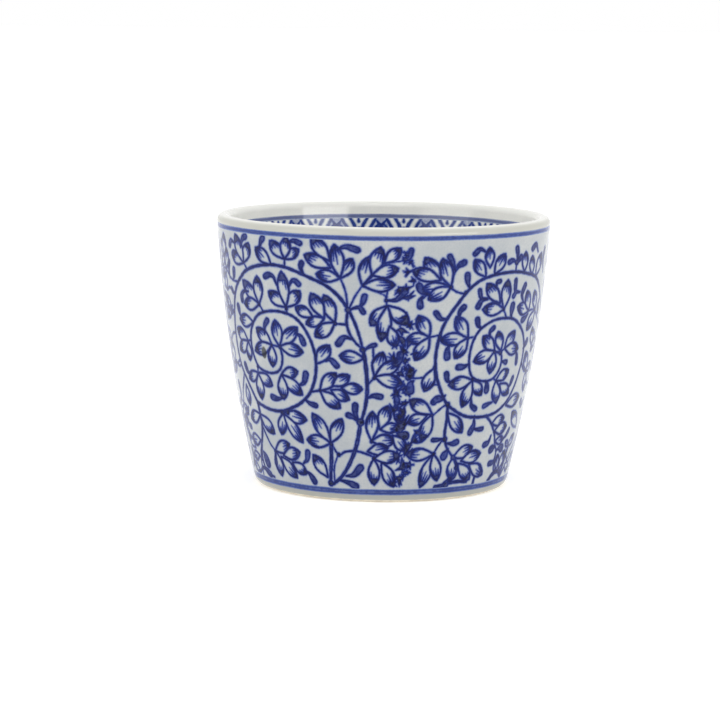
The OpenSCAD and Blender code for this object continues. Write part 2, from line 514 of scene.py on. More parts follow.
def draw_unit(unit, degrees, heights, shift):
    """One unit of the print, turned round the cup by some degrees."""
    drawing = blank(np.asarray(degrees) - shift, heights)
    for half_width, paths in unit["vines"].items():
        for path in paths:
            vine(drawing, half_width, path)
    for sprig in unit["sprigs"]:
        node, *tips = np.reshape(sprig, (-1, 2))
        for tip in tips:
            leaf(drawing, node, tip)
    for head, paths in unit["buds"].items():
        for path in paths:
            bud(drawing, head, path)
    for radius, places in unit["blobs"].items():
        for spot in paper(places):
            segment(drawing, spot, spot, (radius, radius), BLOB_LOAD)
    return drawing


def laid_over(first, second):
    """Two drawings printed one over the other."""
    top = second["ink"] > first["ink"]
    both = (first["ink"] > 0) & (second["ink"] > 0)
    load = np.where(top, second["load"], first["load"])
    return {"ink": np.maximum(first["ink"], second["ink"]), "load": np.where(both, 1.0, load),
            "iron": np.maximum(first["iron"], second["iron"])}


# ---- The two units of the print ----
# Places are pairs of numbers: degrees from the front, and mm up. Vines, buds and blobs are grouped by
# their half width in mm. A vine, or a bud from stem to head, is the points of its path. A sprig is
# its node and then the tips of its leaves. Where two sheets overlap, the wet print has run, and a
# smudge is its radius, its degrees from the seam and its height.

UNIT_A = {"vines": {
    # the spiral, from its outer end to its heart
    0.42: [(-11.6,46, -14,48.3, -17,50.3, -20.5,51.8, -25,53, -30,54.2, -35,55.1, -40,55.4, -45,55.1,
    -50,54.4, -55,53.1, -58,51.6, -60.5,50.2, -63,48.2, -65,45.5, -66.5,42, -67.5,38, -67.5,34, -66.5,31,
    -64.8,28.7, -62,26.4, -59,23.9, -56.6,22, -53,21.2, -49,20.7, -44,20.6, -40,21, -36,22, -33,22.9,
    -30,24.3, -27.5,26, -25.5,28.7, -24.5,31.5, -24.4,34.5, -25.3,37.2, -27,39.8, -29.5,42.2, -32.5,43.7,
    -36,44.4, -40,44.6, -45,44.2, -49,43.3, -52,41.6, -54.4,39.2, -55.3,36.6, -54.7,33.5, -52.8,31, -50,30,
    -46,29.6, -42.3,30, -39.8,31.3, -38.7,33.8, -39.4,36.2)],
    0.36: [(-11.6,46, -9.4,42.8, -8,40, -6.8,37)],
    0.34: [(-12,45.5, -12.4,43, -11.4,40.5, -9.2,38.3, -6.8,37), (-67,42.6, -69.5,43.2, -72,42.8),
    (-66.6,15.4, -70,15.8, -74,15)],
    0.5: [(-6.8,37, -6,34, -5.4,30, -5.4,26.5, -6.2,23, -7.8,19.6), (-56.5,21.8, -56,19, -55.8,16.5,
    -57.2,13.8, -59,11.5)],
    0.55: [(-8,19.6, -8.8,16.5, -10.3,13, -13,9.3, -16.5,6.2, -20.5,4.2), (-20.3,13.5, -20.6,10, -21.3,7,
    -21.8,4)],
    0.3: [(-11.2,12.6, -14.5,12.3, -17.3,11.5, -19.8,13.8), (-10.6,12.7, -7.5,12.3, -5,11.8, -2.8,11.2),
    (-55.8,16, -54,14, -52,12, -49.4,10.6), (-26.6,26.3, -23.4,26.7), (-12.4,42.6, -16.3,42.7), (-59,11.5,
    -61.5,9, -63,6, -63.4,3.6), (-67.5,37.6, -71,37.2, -74,35.6), (-66,30, -69,29.6, -71.5,30.5), (-64.6,28,
    -67,25.5, -69.5,23, -71,20), (-65.6,47.6, -69,48.4, -72,47.6, -76,48.6), (-63.4,8.2, -61,7)],
    0.22: [(-19.8,5, -19.6,8.3, -17.8,11.2), (-11.3,46.5, -9.4,49.2, -6.9,51.7), (-6.9,51.7, -4.6,53.2,
    -2.6,54.6, 0.2,56.7, 4,57.3, 7.4,57.7), (1.6,51, 1.2,48.5, 1.6,46)],
    0.45: [(3.4,30, 5.2,27.6, 6,25, 5.6,22.4)],
    0.24: [(-12,46.5, -12.4,49.5, -13.4,51.8, -14.4,53.3), (-55.3,36.8, -57.6,36.4), (-3.2,38, -3,34,
    -2.6,30.6), (-5.3,28.4, -2.6,30, 1.5,29, 4.4,27.6, 5.4,24.5)],
    0.26: [(-35,44.2, -35.3,45.8), (-46.4,44.2, -48.2,45.8), (-39.4,36.2, -43.5,36.4), (-52.8,30.8,
    -53.2,29), (-35,55.1, -35,57), (-53.6,53.6, -55.6,55), (-60.5,50.2, -65,50.4, -68,51.3, -70.5,52.6,
    -73,54.5)],
    0.2: [(-6.6,51.5, -3,50.6, 0.5,49.6, 1.2,48.4)],
    0.4: [(-59,11.5, -60.8,8.4, -60.2,5.8, -57.4,4.4, -53.4,3.8), (-60.4,5.6, -63.6,5, -66.5,4, -69,4.2)],
}, "sprigs": [
    (-35.3,45.8, -42.8,49, -29.3,49.8, -36.6,54), (-48.2,45.8, -57,50.8, -57.2,45.3, -48.3,52.3),
    (-52.6,41.2, -61.8,41.3), (-39.6,36.3, -31.2,41.2, -40.8,42.4, -29.4,35.5),
    (-43.4,36.4, -51,39.9, -53.2,34.4, -44,31.3), (-53.2,29.1, -60.2,27.2, -53,22.8, -45.4,26.7),
    (-40,29.6, -32.3,30.8, -31,25.3, -40,23.7), (-57.4,36.3, -65.4,38.8, -65,33.7, -57.8,31.8),
    (-24.3,33, -18.9,37.5), (-23.3,26.7, -16.8,31, -15.8,22.8), (-18.4,28, -11.8,30.6),
    (-19,27, -12.2,24.9), (-15,27.6, -7.2,27.5), (-16.6,43, -20.2,49.2, -24,39.4),
    (-20.4,43.8, -25,49.4, -27.3,42.2), (-24.6,43.9, -31.3,46), (-6.4,34.8, -15.2,35.2),
    (-20.4,14.2, -27.3,21, -15.3,20.2, -30.8,14.5), (-22.8,5.8, -28.7,10.9),
    (-14.4,53.3, -22.8,54, -10.2,57.8, -16.3,61), (-17.6,55.6, -27,58.3), (-18,57.2, -24.2,62.4),
    (-6.9,51.8, -4.6,58.4, 4,52), (-3.6,54.2, -0.8,60.6, 5,55.8), (0.4,57, 5.7,60.4),
    (-35,57, -41,60.9, -29.3,59.5, -34,62), (-41,55.4, -48.2,59),
    (-55.7,55, -52,59.8, -63.8,56.5, -60.6,61.4), (-56.1,18.9, -64.6,17.2, -48,14.9), (-59.4,12.3, -68,12),
    (-49.3,10.6, -40.2,12.9, -47.6,4.6), (-44.6,9.8, -35.2,11.2), (-46.4,9.4, -38.4,4.8),
    (-40,8.4, -32.8,6.2), (-41.3,20.2, -43.8,15, -30.2,19.3, -33,13.7), (-3.8,15.2, -3.4,22.2, 5.6,15.4),
    (-0.5,18, 2.4,23.6, 6.8,18.6), (-5.4,12.6, 2.8,13.6), (-2.9,10.9, -2.8,4.5, 7.5,11.6),
    (0.2,10, 5.6,4.1), (4.4,16.6, 10,12.8), (1.7,47.2, -4,42.6, 9,42.8, -0.4,39), (2.4,42.4, 4.8,37.6),
    (-2.6,30.5, 0.2,36.3, 6.6,34.4, 7.6,28.8), (5,23.2, 8,19.4), (-70.6,52.6, -69,57.6, -77,50.5),
    (-74,35.6, -80,38, -80.5,33), (-71.5,30.5, -77,27.8), (-71,20.4, -66.8,18.2, -77.5,20, -74,14.5),
    (-64.2,25.4, -63.6,20.6), (-63.6,8.4, -70.4,7.6), (-69,43.2, -74.6,46, -75.6,41.2),
    (-72,47.6, -73.6,52), (-66,10, -72.4,12.4), (-66.4,4.4, -73,5.6),
], "buds": {
    0.75: [(-38.9,50.8, -40.2,52.6, -42.2,53, -44,52.5), (-61,41.9, -61.8,43, -62.3,44.4),
    (-32,39.8, -30,39.2, -28.9,37.6), (-58.4,28.6, -60.8,28.8, -62.2,30.4),
    (-20.6,33.8, -18.6,34.2, -16.4,32.8), (-5.2,25.4, -3,26, -0.4,25.8), (-9,19.8, -11,20.8, -12.7,21.2),
    (-46.4,58.6, -45.4,60.4, -44.4,61.4), (-64.6,50.4, -63.6,51.4, -63.3,53),
    (1.4,48.4, 4.6,48.6, 7.6,50.4)],
    0.7: [(-33.7,50.6, -32.4,52, -31,52.1, -29.7,51.4), (-54,48.4, -57,48.2, -58.6,47.2, -58.6,46),
    (-46.7,38.8, -46.2,40.8, -44.6,42.2), (-30,24.2, -28,23.4, -25.6,23), (-8.2,46.6, -6.9,47.6, -6.1,49.3),
    (-33.4,60.7, -31.2,61.4, -28.7,60.9), (-27.6,53.8, -28.6,55.2, -28.2,56.4),
    (-61.6,59.4, -64,59.8, -65.4,58.6), (-68,44, -69.6,43, -71,43.4), (-67.6,50.8, -68,53, -67.2,54.6),
    (-70,18, -68.5,15.4, -66.8,15)],
    0.8: [(-32.2,27.5, -29.9,28.3, -28.8,30.4), (-40.6,23.9, -43.4,23.6, -46.2,23.8),
    (-10.6,39.2, -13.4,39.6, -15.6,38), (-8.6,20, -9.9,21.6, -9.9,23.6),
    (-15.4,59.8, -12.4,60.6, -8.6,59.9), (-57,58.6, -55.6,60.6, -53.8,61.3), (-34,8.6, -32,9.6, -31.2,11.4),
    (-60.6,57.4, -62,57.2, -63,56.6), (9.4,33.4, 10.4,32, 9.6,30.4), (4.6,27.4, 5.4,25.8, 5.8,24.4)],
    0.65: [(-11,46.2, -8,46.7, -6.6,45.6), (6.6,57.6, 8.6,58.2, 9.2,60), (-49.4,10, -50,8.8, -50.4,7.4)],
    0.6: [(-6,36.9, -4.4,37.6, -2.6,38), (-64,47.4, -65.6,47.4, -66.6,48.2)],
    0.95: [(-14.6,6.4, -11.2,6.8, -8.4,8.6)],
    0.85: [(-17.6,5.3, -13.8,4.8, -10.4,4), (-33,6.8, -31,5.8, -29.4,4.4)],
    1.3: [(-59,9.6, -57.8,8.6, -56.8,7)],
    1.0: [(-66,19.8, -67.4,18.8, -68.6,18.6)],
    0.9: [(-67,43, -68.6,42.6, -69.8,42.8), (-63,5.6, -59.8,5.2, -56.4,4.2), (4,33, 6,34, 6.4,35.8)],
}, "blobs": {
    0.75: [(-11.8,46), (-6.8,36.8)],
    1.0: [(-8,19.6)],
    0.85: [(-21.6,4.4)],
    0.6: [(-17.3,11.5), (-20.2,13.9), (-2.8,11)],
    0.55: [(-39.4,36.2), (-49.4,10.4)],
    0.5: [(-43.4,36.3), (-16.4,42.7), (-23.4,26.7), (-35.2,45.4), (-48.2,45.6), (-52.8,30.6), (-2.8,30.2),
    (1.2,48.4), (-3.8,15)],
    0.65: [(-56.3,21.6), (-42,20.4)],
    0.7: [(-39,20.6)],
}}

UNIT_B = {"vines": {
    # the climber between this motif and the next
    0.44: [(90,3.6, 92,8, 95,13, 95,18, 91,23, 87,27, 86,32, 89,37, 94,41, 95.6,46, 92.4,51, 88,54,
    86.4,57)],
    0.38: [(79,44, 82.5,42.4, 85.6,39, 87.4,35)],
    0.24: [(79,39.6, 83,37.4, 86.2,33.6), (25.4,23.8, 23,22.8, 20,21.2), (34.8,30, 35.4,29), (63.6,43.9,
    67,44, 71,43.2, 75,41.4, 79,39.6), (15,49.6, 13.2,48.6)],
    0.26: [(93,50.4, 95,52.4, 96.4,54.6), (112.6,31, 110,30.2, 107,30), (70.5,29, 74,26.4, 78,25.4,
    84,27.6), (28.6,49.6, 25.6,50.2, 23.4,51.4, 24,53.4, 24.8,55), (19.2,33.2, 18,31.6, 16,30.4, 13,30.2,
    10.6,30.2), (31.4,39.2, 33.6,39.3), (48.8,43.2, 46.9,45.3), (45.8,28.9, 47.6,28.2), (24.6,14.8,
    22.8,13.2, 21.7,11.9)],
    0.28: [(73,10, 77,12.4, 82,12.8, 88.4,13.4), (20.6,40.2, 16.6,39.8), (51.6,53.8, 51.6,56)],
    0.4: [(79,44, 75,46.8, 71.5,49.4, 68,51.3, 64,52.4, 59,53.1, 54,53.7, 49,53.9, 44,53.8, 39.5,53.4,
    35.5,52.7, 32.5,51.6, 29.5,49.9, 26.5,47.4, 23.8,45, 21.6,42.4, 20.2,39.6, 19.4,36.2, 19.4,33.2,
    20.2,30.4, 21.7,27.8, 23.5,25.4, 25.6,23.5, 28.3,22.3, 31.5,21.1, 35,20.3, 40,19.9, 45,19.9, 50,20.4,
    54,21.5, 57.5,23.1, 60.6,25.7, 62.8,28.8, 64,32.2, 63.7,35.6, 61.3,38.7, 57.5,41, 53.3,42.6, 48.5,43.1,
    43.5,43, 39,42, 35.7,40.4, 33.7,38, 32.9,35.2, 33.2,32.4, 34.8,30, 38,28.9, 42,28.5, 45.5,28.9, 48,30.4,
    49.1,32.6, 48.2,34.6, 44.8,35.3), (65,3.6, 66,7, 67.2,10, 69,13), (65.4,3.8, 69,6.6, 73,10)],
    0.42: [(25.7,23.3, 25.9,20, 25.6,17, 26,15.2, 27.6,12.8, 30.5,10.8)],
    0.5: [(31,10.6, 33,8.6, 33.2,6.2, 30.8,4.8, 28.6,3.6), (30,4.4, 35,4.5, 40,4.2), (65,3.6, 61.8,5.1,
    58.4,4.9, 54.6,3.5), (82,19.6, 81,15, 79,11, 76,7.5, 72.5,4.2)],
    0.34: [(44.8,19.9, 47.6,18.6, 50.2,16.8, 52.4,14.8, 54,12.4, 56,10.8), (54,3.6, 57,5.2, 60.4,5.5,
    63.4,4.6, 65.4,3.4), (66.6,11, 65.8,8, 64.6,5), (64.6,4, 61.6,7, 58.4,8.6), (64.8,4.2, 64,8, 62.4,10)],
    0.2: [(21.5,28.2, 19.6,28.5, 17.8,27.4)],
    0.3: [(44.8,35.3, 47.8,35.2, 50,35.8), (21.7,11.6, 21,9.6, 20.6,8), (56,10.8, 56.3,8.6), (64,31.4,
    67.5,29.4, 70.5,29), (62.8,8.6, 66,8.8, 70,7, 72.5,4)],
    0.6: [(24,3.6, 27.4,3.9, 30,5.2, 33,6)],
    0.45: [(44,3.5, 44.3,5.6)],
}, "sprigs": [
    (91.5,8, 84,6, 84.6,10.6, 89,13.6), (94.6,12, 102,9, 102.6,13.4, 100,17.4),
    (94.4,19.5, 101.6,20.4, 99.4,25.4), (90,24, 82.4,22.4, 83.6,27.4, 85.4,18), (86,31, 78.4,29, 78.2,33.4),
    (87.4,34.6, 95,33, 94,38.4), (93.6,41, 101,39, 101.4,43.6, 99,35), (95.4,46.5, 102.6,47, 100,51.6),
    (93,49.6, 85.4,47.4, 86,51.4), (86.6,56, 79.6,54.4, 80.8,59.2, 86,61.4, 91.8,60),
    (96.4,54.6, 102,56.4, 98.6,60.6), (107,30, 101,27.6, 100.8,31.6, 104.4,35.6),
    (108,55.6, 102.8,53.2, 103.8,59.2, 108.4,61), (107.6,44, 104,40.4, 103.6,46.8),
    (106,14, 109.4,17.6, 109.6,12.8), (76,36.6, 70.4,38.2, 72,33.8), (19.4,17.8, 12.2,15),
    (44.6,35.5, 38.2,39.3, 35,33.5, 43.4,30.3), (48,35.4, 45.2,40), (50,35.8, 55.2,39.6, 59,35.2),
    (46.9,45.3, 36.8,45.7, 47.8,52.1), (44.8,46.8, 37.8,51.6), (37,53.3, 32,57.4), (38.6,55.4, 37.9,60),
    (40.8,53.8, 45.3,58.3), (57,53.6, 56.9,58.2), (63,52.5, 61.8,57), (66.4,52, 70.8,57.2),
    (63.6,43.9, 55,45.4, 60.6,48.8), (70.4,43.8, 67,48.4, 64,39.4),
    (31.4,39.2, 20.6,39, 26.2,44.3, 26.8,34.6), (35.4,29, 25.3,28.3, 32,22.8, 40.6,25.3),
    (47.5,28.3, 54.6,30.3, 49.6,22.8), (50,27.3, 57,24.6), (23.4,51.4, 20,57.9, 12.8,50.7, 15.6,48.6),
    (19.6,53, 13.9,58.2, 9.8,55.4), (16.6,39.8, 12.3,44.8, 8.4,39.3, 11.7,34.5), (19,32.4, 15.8,27.1),
    (19.6,21.4, 10.5,25, 15.8,15.2), (17.6,21.2, 10,19.6), (26,21.6, 33.5,16.6),
    (30.8,10.6, 40,12.7, 31,5.2), (35,9.6, 45.3,10.8), (33.6,9, 41.4,4.7), (39.6,8.5, 49,5.4),
    (21.6,11.8, 10.2,11.8, 17,3.8, 24.5,5.2), (49.2,17.8, 57.2,18.6), (51.8,15.8, 60.6,16.4),
    (53.8,13.2, 60,13.2), (56.6,21.8, 67.8,23), (72.4,15.2, 63.4,19.5), (57.6,5.4, 58.2,8.9),
    (70.5,29, 66.6,33.8, 76,30.5, 72,24), (72.5,35, 70,39.4, 78.5,36), (66.6,11, 63,12.4, 72,13.4),
    (72.5,4.6, 78,9), (59.6,5.8, 58,9.6), (61.6,5.6, 64.4,10.2), (68,6.4, 74,5),
], "buds": {
    0.75: [(95,16, 90.6,17, 88.6,19.4), (86,28.6, 91,27.4, 93.4,29), (95.4,44, 90,42.6, 87.6,40.4),
    (77,12, 79.6,15, 79,18), (76,22, 73.6,20.4, 71.4,21.6), (75,52.6, 73.4,55.4, 74.4,58),
    (38.6,48, 36,47.8, 34.6,46.4), (51.6,55.6, 52.6,56.4, 54,57.2), (58.4,46.4, 57,48.2, 58.6,50.3),
    (66.6,57.8, 64.4,59.6, 61.8,58.8), (63.4,35, 64.6,35.6, 66,36.6), (27.2,43.2, 27.4,45.4, 28.9,46.5),
    (36.9,41.3, 35.5,42, 34.9,43.4), (13.6,49.4, 12.7,48.4, 12.8,47), (30.8,50.8, 29.8,52.2, 29.5,54),
    (56.2,9.6, 55.6,8, 52.6,7.8)],
    0.8: [(88.6,37, 83.4,38.6, 80.6,40.2), (84,44, 80.8,47, 80.4,50), (104.6,20, 107,22.4, 106.4,25),
    (104,4.6, 107.6,6.4, 108,9), (15,49.6, 13,50.4, 12.2,51.8), (63.4,43.2, 61.4,42.4, 59.4,42),
    (32.9,33, 30.9,32.4, 28.6,32.4), (24.8,55, 25.9,56.2, 27.9,56.9), (24.2,25.8, 22.6,25, 20.5,24.9),
    (27,14.2, 29.4,14, 31.6,14.3), (50,14.8, 49,13.2, 46.8,12.8), (75,47, 73.6,44.8, 74.4,43.2)],
    0.7: [(88,54, 92.4,54.6, 94,56.4), (36.6,59, 34,59.8, 32,58.8), (51.8,56, 52,57.8, 51.4,59.4),
    (51.6,56, 49.6,56.6, 47.7,56.3), (26.2,28.9, 24.6,29.4, 24,31), (35.7,25, 36.3,23, 38.4,22),
    (24.8,55, 23.8,56.8, 22.5,58.4), (22.8,43.9, 20.4,44, 18.5,45.4)],
    0.85: [(90,4.4, 96,5.8, 99.6,4.8), (23.6,24.8, 21.6,25.4, 19.8,24.4), (51.6,42.9, 51.5,44.4, 51.8,46),
    (24.4,38, 23.6,36.6, 23.7,34.9), (41.8,28.6, 42.7,27.6, 43,26.2), (38.6,19.8, 38.8,18, 37.5,16.4)],
    0.65: [(41.4,38.8, 41.2,40.2, 42.8,41.1), (57.4,34.8, 58.8,33.6, 59.3,31.8),
    (49.2,32.8, 50.8,32.6, 52,32.4), (55.4,48.9, 52.6,49.2, 52.2,51.8), (55.4,48.9, 53,49, 51.7,48.1),
    (47.2,23.1, 45,22.8, 42.8,22.4), (56.2,26, 57.4,26.8, 58.4,28.2), (59.6,13.2, 62,14, 63.8,15.2)],
    0.6: [(42.2,50.6, 42.4,51.8, 43.8,52), (38.4,48.2, 35.8,48.4, 34.9,50.2),
    (25.6,15.4, 23.2,15.2, 20.8,15.2), (38.6,17.4, 41,16.9, 43.8,16.9)],
    1.0: [(11.6,29.6, 10.4,28.8, 10.5,27.2), (28,12.8, 27,11.8, 26.3,11)],
    0.9: [(11.6,30.2, 10.2,30.8, 10.4,32)],
    1.05: [(54.6,11.8, 53,11.6, 51.8,11.3), (56.4,10.9, 58.6,11.3, 60.3,11)],
}, "blobs": {
    0.55: [(44.6,35.3), (20.4,39.8)],
    0.65: [(47.9,34.9)],
    0.7: [(25.6,23.6), (51.7,56)],
    0.75: [(25.9,15.2), (30.8,10.6)],
    0.9: [(29,4)],
    0.6: [(21.7,11.8), (23.4,51.3), (33,8)],
    0.5: [(29.2,49.9), (31.5,39.2), (35.2,29.3), (46.9,45.2), (56.1,10.8), (38.6,20), (19.6,21.2),
    (45,19.9)],
}}

SMUDGES = [
    (1.1, -1.8, 44.6), (1.0, -0.5, 42.6), (1.2, -3.6, 41.6), (1.4, -3, 39.2), (1.1, -0.6, 38.4),
    (0.9, -5.6, 38.2), (1.2, -2.4, 36.6), (1.0, -1.8, 34.2), (0.8, -1.4, 32.4), (0.9, -0.4, 30.8),
    (1.2, -0.6, 27), (1.3, -1.6, 22), (2.2, -2.4, 18.6), (2.2, -0.6, 16.4), (1.6, 0.6, 13.8),
    (1.1, 4.4, 17), (0.9, 6, 16), (1.1, -3.2, 11.4), (1.6, -1, 8.8), (1.2, 1.8, 9.4), (0.9, -0.6, 6.6),
    (1.1, -5, 4.8), (0.9, -2, 59), (0.8, -0.8, 57.2), (0.8, -1.6, 55), (1.0, -2.2, 51), (1.0, -1.6, 49),
    (0.7, -4, 49.4), (0.8, 0.4, 53), (0.9, 2.6, 43.6), (0.8, 2, 36.2), (1.2, -5, 33.4), (1.1, -3.2, 31.4),
    (1.0, 0.8, 31), (1.1, -4.6, 26.4), (1.0, -2.2, 28), (1.1, -5.4, 22.6), (1.3, -3, 21), (1.0, -1.4, 24.2),
    (0.8, 2.4, 51.6), (1.1, -4.4, 51), (1.2, -2.2, 6), (1.0, 0.2, 7.4), (1.0, -6, 34.8), (1.0, -2.6, 57.8),
    (1.0, 1.6, 12.4),
]

# Each unit and the direction in which its own sheet starts
UNITS = ((UNIT_B, SEAM_TURN), (UNIT_A, SEAM_TURN - SHEET_SPAN))


def smudged(drawing, seam, strength):
    """Adds the run print where two sheets overlap, as ragged clusters of tapered dabs."""
    spread = np.random.default_rng(SMUDGE_SEED)
    for radius, aside, level in SMUDGES:
        centre = paper((seam + aside, level))[0]
        offsets = spread.normal(0, DAB_SPREAD * radius, (DABS_A_SMUDGE, 2)) * (0.9, 1)
        halves = radius * spread.uniform(*DAB_SIZES, DABS_A_SMUDGE) * strength
        for offset, half in zip(offsets, halves):
            start, end = [centre + share * offset for share in DAB_ENDS]
            segment(drawing, start, end, (half, DAB_TIP), SMUDGE_LOAD)


def line_drawing(edges, angles, rows, seed):
    """A brushed line whose middle and width wander a little as it goes round."""
    low, high = widened(edges)
    heights = np.linspace(low, high, rows)[:, None]
    middle = (edges[0] + edges[1]) / 2
    half = (edges[1] - edges[0]) / 2
    wander, swell = [sum(size * np.sin(count * angles + start * seed) for size, count, start in waves)
                     for waves in (LINE_WANDER, LINE_SWELL)]
    ink = half + swell - np.abs(heights - middle - wander)
    return {"ink": ink, "load": np.full(ink.shape, LINE_LOAD), "iron": np.full(ink.shape, -REACH)}


def line_ring(name, node, side, edges, seed):
    """A cobalt line round the cup, on a skin a little wider than the line itself."""
    points, normals = side_face(side, *widened(edges), LINE_ROWS)
    loop, directions = skin_loop(points[::side], normals[::side], PRINT_T)
    piece = lathe(name, loop, directions)
    angles = np.linspace(0, 2 * math.pi, COLUMNS, endpoint=False)
    drawing = line_drawing(edges, angles, LINE_ROWS, seed)
    drawing["ink"] = drawing["ink"][::side]
    set_ink(piece, drawing)
    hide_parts(node)
    return piece


def outer_sheet(number, node):
    """One printed sheet round the outside, with the neighbours' motifs that reach onto it."""
    start = SEAM_TURN + SHEET_SPAN * number
    degrees = np.linspace(0, SHEET_SPAN, OUTER_COLUMNS)
    heights = np.linspace(*OUTER_SHEET, OUTER_ROWS)
    own, own_start = UNITS[number % 2]
    other, other_start = UNITS[1 - number % 2]
    drawing = draw_unit(own, degrees, heights, -own_start)
    for shift in (-SHEET_SPAN, SHEET_SPAN):
        drawing = laid_over(drawing, draw_unit(other, degrees, heights, shift - other_start))
    sheet = {**blank(degrees, heights), **drawing}
    for seam, strong in ((0, own is UNIT_B), (SHEET_SPAN, own is UNIT_A)):
        smudged(sheet, seam, 1.0 if strong else WEAK_SMUDGE)
    if number == IRON_SHEET:
        add_iron(sheet)
    angles = np.radians(FRONT + start + degrees)
    piece = sheet_slab(f"cobalt_print_{number + 1}", 1, OUTER_SHEET, angles, OUTER_ROWS)
    set_ink(piece, sheet)
    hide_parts(node)
    return piece


def add_iron(drawing):
    """The small iron speck fired into the glaze, an upright oval."""
    across = drawing["x"][None, :] - (IRON_AT[0] + SHEET_SPAN - SEAM_TURN) * MM_PER_DEG
    along = drawing["z"][:, None] - IRON_AT[1]
    away = np.hypot(across / IRON_HALF[0], along / IRON_HALF[1])
    drawing["iron"] = np.maximum(-REACH, IRON_HALF[0] * (1 - away))


def wash(drawing, centre, half_size):
    """A pale oval wash, too thin to be a stroke."""
    middle = paper(centre)[0]
    across = (drawing["x"][None, :] - middle[0]) / half_size[0]
    along = (drawing["z"][:, None] - middle[1]) / half_size[1]
    within = np.clip((1 - np.hypot(across, along)) * WASH_EDGE, 0, 1)
    np.maximum(drawing["ink"], -REACH + (REACH + WASH_INK) * within, out=drawing["ink"])


def inner_drawing(degrees, heights):
    """The painted border inside: double arches, flat on top, with narrow gaps between them."""
    drawing = blank(degrees, heights)
    foot, top = INNER_STRIP
    middle = (top + foot) / 2
    for gap in np.arange(-ARCH_SPAN, degrees[-1] + 2 * ARCH_SPAN, ARCH_SPAN):
        crown = gap + ARCH_SPAN / 2
        wash(drawing, (crown, middle + 1.6), (3.2, 4.8))
        for side in (-1, 1):
            near = [(1.1, foot + 0.4), (1.2, middle), (1.5, top - 2.2), (3.4, top)]
            far = [(3.6, foot + 0.8), (3.9, middle), (4.8, top - 2.4), (6.8, top - 0.2)]
            for path in (near, far):
                vine(drawing, 0.5, [(gap + side * aside, level) for aside, level in path])
            hanging = [(6.2, top - 3.4), (7, top - 2.6), (8, top - 2.1)]
            bud(drawing, 0.7, [(gap + side * aside, level) for aside, level in hanging])
            standing = [(0, foot + 0.6), (1.6, foot + 1), (2.8, foot + 2.6)]
            bud(drawing, 0.6, [(crown + side * aside, level) for aside, level in standing])
            dash = [(crown + side * 0.6, top - 1.6), (crown + side * 2.2, top - 0.2)]
            stroke(drawing, paper(dash), (0.5, 0.1), TIP_LOAD)
        leaf(drawing, (crown, foot + 1.4), (crown, top - 1.6))
        bud(drawing, 0.55, [(gap, middle - 0.6), (gap, middle + 0.8), (gap, middle + 1.9)])
        stroke(drawing, paper([(gap, top), (gap, top - 0.8)]), (0.15, 0.4), BUD_LOAD)
    return drawing


def inner_strip(number, node):
    """One painted strip round the inside."""
    start = SEAM_TURN + STRIP_SPAN * number
    degrees = np.linspace(0, STRIP_SPAN, INNER_COLUMNS)
    angles = np.radians(FRONT + start + degrees)
    piece = sheet_slab(f"cobalt_border_{number + 1}", -1, INNER_STRIP, angles, INNER_ROWS)
    set_ink(piece, inner_drawing(degrees, np.linspace(*INNER_STRIP, INNER_ROWS)))
    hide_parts(node)
    return piece


# ---- Materials ----


def colour(red, green, blue):
    """A linear colour from display values out of 255."""
    channels = [value / 255 for value in (red, green, blue)]
    return (*[c / 12.92 if c <= 0.04045 else ((c + 0.055) / 1.055) ** 2.4 for c in channels], 1)


def new_material(name):
    """A material with only a shader, its node tree and that shader."""
    material = bpy.data.materials.new(name)
    material.use_nodes = True
    tree = material.node_tree
    tree.nodes.clear()
    shader = tree.nodes.new("ShaderNodeBsdfPrincipled")
    output = tree.nodes.new("ShaderNodeOutputMaterial")
    tree.links.new(shader.outputs["BSDF"], output.inputs["Surface"])
    return material, tree, shader


def feed(tree, socket, value):
    """Links a socket to another, or sets it to a constant."""
    if isinstance(value, bpy.types.NodeSocket):
        tree.links.new(value, socket)
    else:
        socket.default_value = value


def maths(tree, operation, *values):
    """The result of one sum."""
    node = tree.nodes.new("ShaderNodeMath")
    node.operation = operation
    for socket, value in zip(node.inputs, values):
        feed(tree, socket, value)
    return node.outputs[0]


def between(tree, value, low, high):
    """0 below low, 1 above high, and smooth between."""
    node = tree.nodes.new("ShaderNodeMapRange")
    node.interpolation_type = "SMOOTHSTEP"
    for name, setting in (("Value", value), ("From Min", low), ("From Max", high)):
        feed(tree, node.inputs[name], setting)
    return node.outputs["Result"]


def blend(tree, share, first, second):
    """A colour between two."""
    node = tree.nodes.new("ShaderNodeMix")
    node.data_type = "RGBA"
    feed(tree, node.inputs[0], share)
    feed(tree, node.inputs[6], first)
    feed(tree, node.inputs[7], second)
    return node.outputs[2]


def noise(tree, grain_mm, detail=2.0, turn=0.0):
    """Noise from about 0.3 to 0.7 with lumps of a size in millimetres."""
    place = tree.nodes.new("ShaderNodeTexCoord")
    node = tree.nodes.new("ShaderNodeTexNoise")
    node.noise_dimensions = "4D"
    feed(tree, node.inputs["Vector"], place.outputs["Object"])
    feed(tree, node.inputs["W"], turn)
    feed(tree, node.inputs["Scale"], 1 / (grain_mm * MM))
    feed(tree, node.inputs["Detail"], detail)
    return node.outputs["Fac"]


def height(tree):
    """Height up the cup, mm."""
    place = tree.nodes.new("ShaderNodeTexCoord")
    split = tree.nodes.new("ShaderNodeSeparateXYZ")
    feed(tree, split.inputs[0], place.outputs["Object"])
    return maths(tree, "DIVIDE", split.outputs["Z"], MM)


